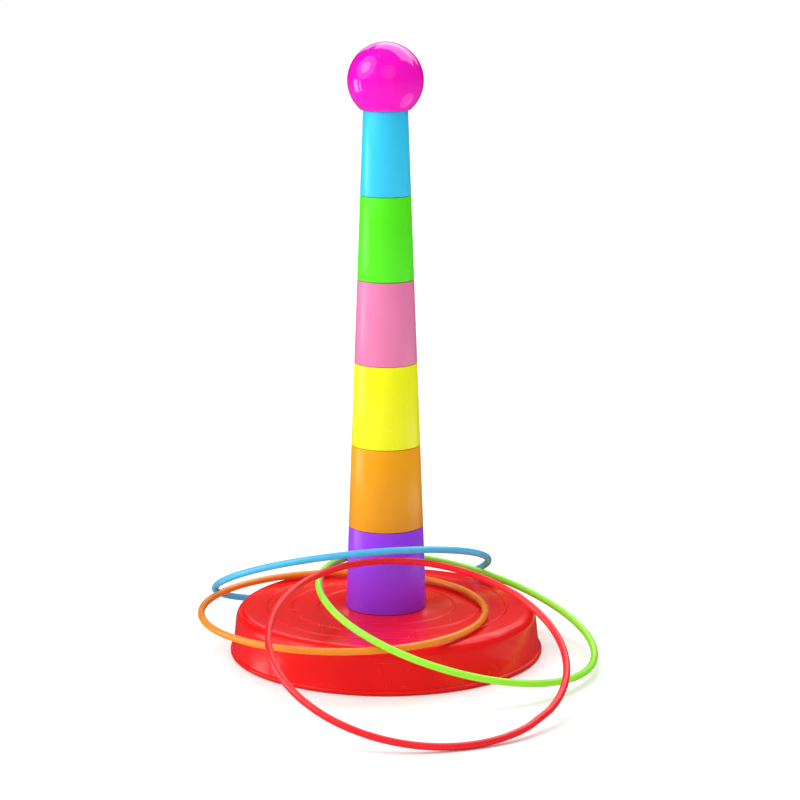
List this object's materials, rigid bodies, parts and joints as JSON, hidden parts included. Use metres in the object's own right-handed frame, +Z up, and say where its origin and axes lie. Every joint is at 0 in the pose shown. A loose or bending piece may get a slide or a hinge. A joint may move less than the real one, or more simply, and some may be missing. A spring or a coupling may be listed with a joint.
{
  "type": "ring toss set",
  "caption": "Lawn ring toss game: a round base carries a tapered tower of stacked coloured segments with a ball on top, and thin plastic rings lie round and against it.",
  "frame": {"origin": "centre of the base where it stands on the ground", "axes": "+Z up along the tower's axis, -Y towards the ring that leans against the front of the tower, +X to the right seen from that side"},
  "size_m": [0.2335, 0.2987, 0.3587],
  "materials": {
    "base_red": "glossy injection moulded",
    "tower_purple": "satin gloss",
    "tower_orange": "satin gloss",
    "tower_yellow": "satin gloss",
    "tower_pink": "satin gloss",
    "tower_green": "satin gloss",
    "tower_blue": "satin gloss",
    "ball_magenta": "high gloss",
    "ring_orange": "satin gloss",
    "ring_lime": "satin gloss",
    "ring_red": "satin gloss",
    "ring_blue": "satin gloss"
  },
  "bodies": {
    "base": {"base": "base_red"},
    "purple_segment": {"purple_segment": "tower_purple"},
    "orange_segment": {"orange_segment": "tower_orange"},
    "yellow_segment": {"yellow_segment": "tower_yellow"},
    "pink_segment": {"pink_segment": "tower_pink"},
    "green_segment": {"green_segment": "tower_green"},
    "blue_segment": {"blue_segment": "tower_blue"},
    "ball": {"ball": "ball_magenta"},
    "orange_ring": {"orange_ring": "ring_orange", "orange_ring_plug": "ring_orange"},
    "green_ring": {"green_ring": "ring_lime", "green_ring_plug": "ring_lime"},
    "red_ring": {"red_ring": "ring_red", "red_ring_plug": "ring_red"},
    "blue_ring": {"blue_ring": "ring_blue", "blue_ring_plug": "ring_blue"}
  },
  "joints": [
    {"name": "purple_segment_lift", "type": "slide", "parent": "base", "child": "purple_segment", "axis": [0, 0, 1], "range_m": [0, 0.015]},
    {"name": "orange_segment_lift", "type": "slide", "parent": "purple_segment", "child": "orange_segment", "axis": [0, 0, 1], "range_m": [0, 0.015]},
    {"name": "yellow_segment_lift", "type": "slide", "parent": "orange_segment", "child": "yellow_segment", "axis": [0, 0, 1], "range_m": [0, 0.015]},
    {"name": "pink_segment_lift", "type": "slide", "parent": "yellow_segment", "child": "pink_segment", "axis": [0, 0, 1], "range_m": [0, 0.015]},
    {"name": "green_segment_lift", "type": "slide", "parent": "pink_segment", "child": "green_segment", "axis": [0, 0, 1], "range_m": [0, 0.015]},
    {"name": "blue_segment_lift", "type": "slide", "parent": "green_segment", "child": "blue_segment", "axis": [0, 0, 1], "range_m": [0, 0.015]},
    {"name": "ball_lift", "type": "slide", "parent": "blue_segment", "child": "ball", "axis": [0, 0, 1], "range_m": [0, 0.015]},
    {"name": "orange_ring_lift", "type": "slide", "parent": "base", "child": "orange_ring", "axis": [0, 0, 1], "range_m": [0, 0.36]},
    {"name": "green_ring_lift", "type": "slide", "parent": "orange_ring", "child": "green_ring", "axis": [0, 0, 1], "range_m": [0, 0.36]},
    {"name": "blue_ring_lift", "type": "slide", "parent": "green_ring", "child": "blue_ring", "axis": [0, 0, 1], "range_m": [0, 0.36]},
    {"name": "red_ring_pull", "type": "slide", "parent": "green_ring", "child": "red_ring", "axis": [0, -1, 0], "range_m": [0, 0.2]}
  ]
}
